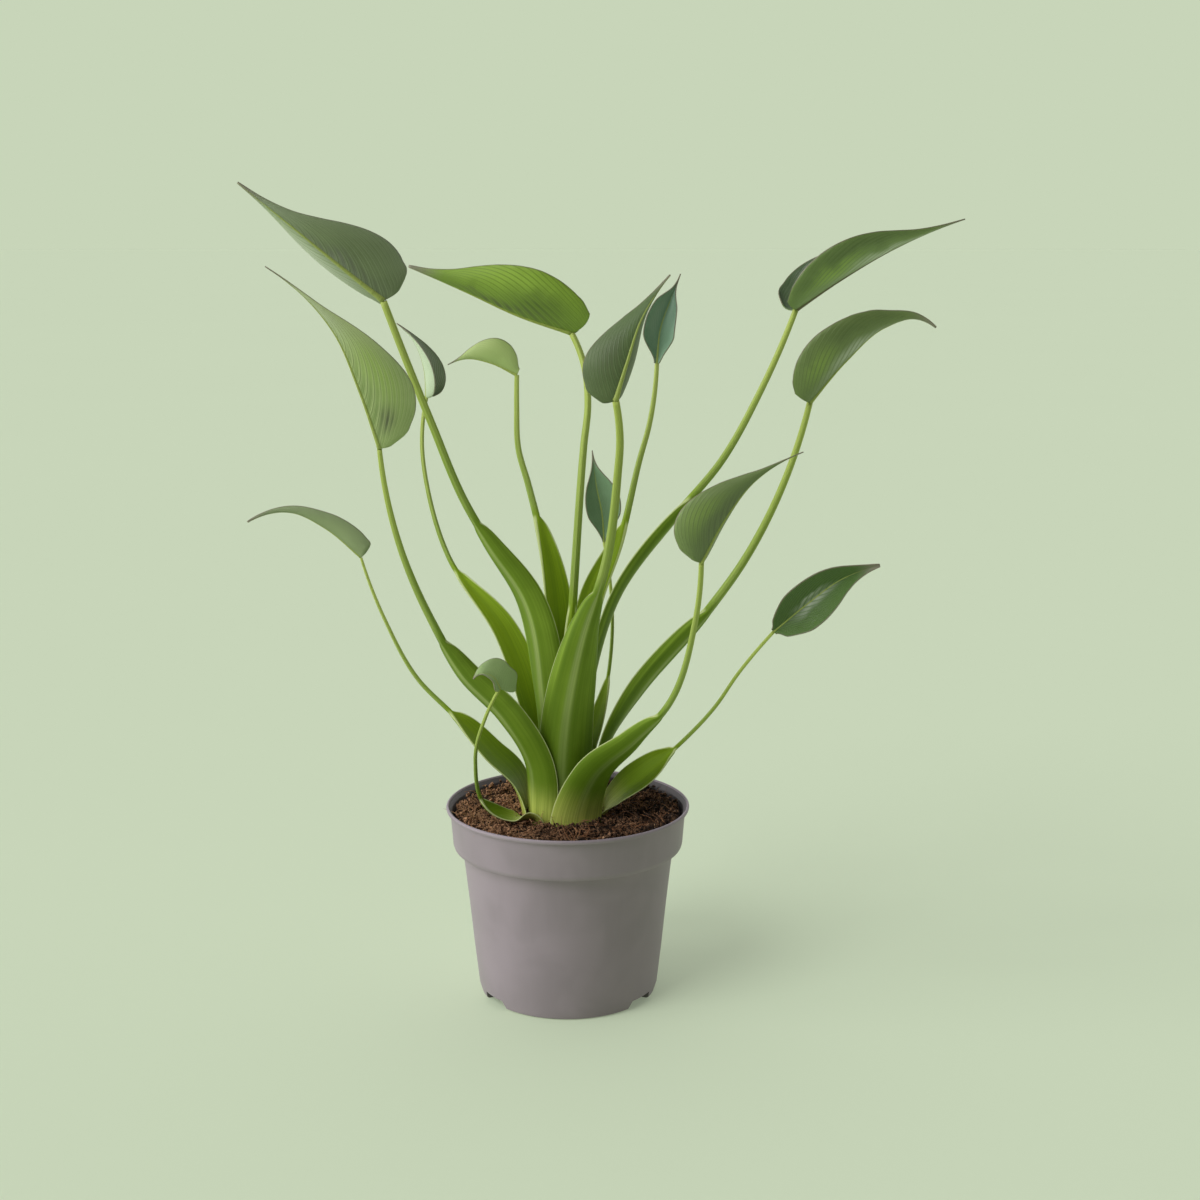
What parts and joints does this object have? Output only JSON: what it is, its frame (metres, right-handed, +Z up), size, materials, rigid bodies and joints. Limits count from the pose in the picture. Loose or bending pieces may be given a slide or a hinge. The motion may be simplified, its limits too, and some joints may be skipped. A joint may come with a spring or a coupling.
{
  "type": "potted plant",
  "caption": "Potted houseplant with arrow-tailed leaves on long curved stalks, in a tapered nursery pot filled with soil",
  "frame": {"origin": "middle of the pot's flat underside, on the surface that the pot stands on", "axes": "+Z up along the pot's axis; -Y is the front, the side that the picture shows; +X is to the right as seen from the front"},
  "size_m": [0.3584, 0.1574, 0.3956],
  "materials": {
    "pot_plastic": "matte",
    "soil_mix": "matte",
    "corm_skin": "matte",
    "leaf_stalk": "satin",
    "leaf_blade": "satin"
  },
  "bodies": {
    "root": {"pot": "pot_plastic", "soil": "soil_mix", "corm": "corm_skin", "stalk_upper_left": "leaf_stalk", "stalk_mid_left": "leaf_stalk", "stalk_small_left": "leaf_stalk", "stalk_tall_centre": "leaf_stalk", "stalk_pale_centre": "leaf_stalk", "stalk_front_centre": "leaf_stalk", "stalk_blue_right": "leaf_stalk", "stalk_back_short": "leaf_stalk", "stalk_upper_right": "leaf_stalk", "stalk_mid_right": "leaf_stalk", "stalk_front_right": "leaf_stalk", "stalk_low_right": "leaf_stalk", "stalk_low_left": "leaf_stalk", "stalk_soil_left": "leaf_stalk", "blade_upper_left": "leaf_blade", "blade_mid_left": "leaf_blade", "blade_small_left": "leaf_blade", "blade_tall_centre": "leaf_blade", "blade_pale_centre": "leaf_blade", "blade_front_centre": "leaf_blade", "blade_blue_right": "leaf_blade", "blade_back_short": "leaf_blade", "blade_upper_right": "leaf_blade", "blade_mid_right": "leaf_blade", "blade_front_right": "leaf_blade", "blade_low_right": "leaf_blade", "blade_low_left": "leaf_blade", "blade_soil_left": "leaf_blade"}
  },
  "joints": []
}
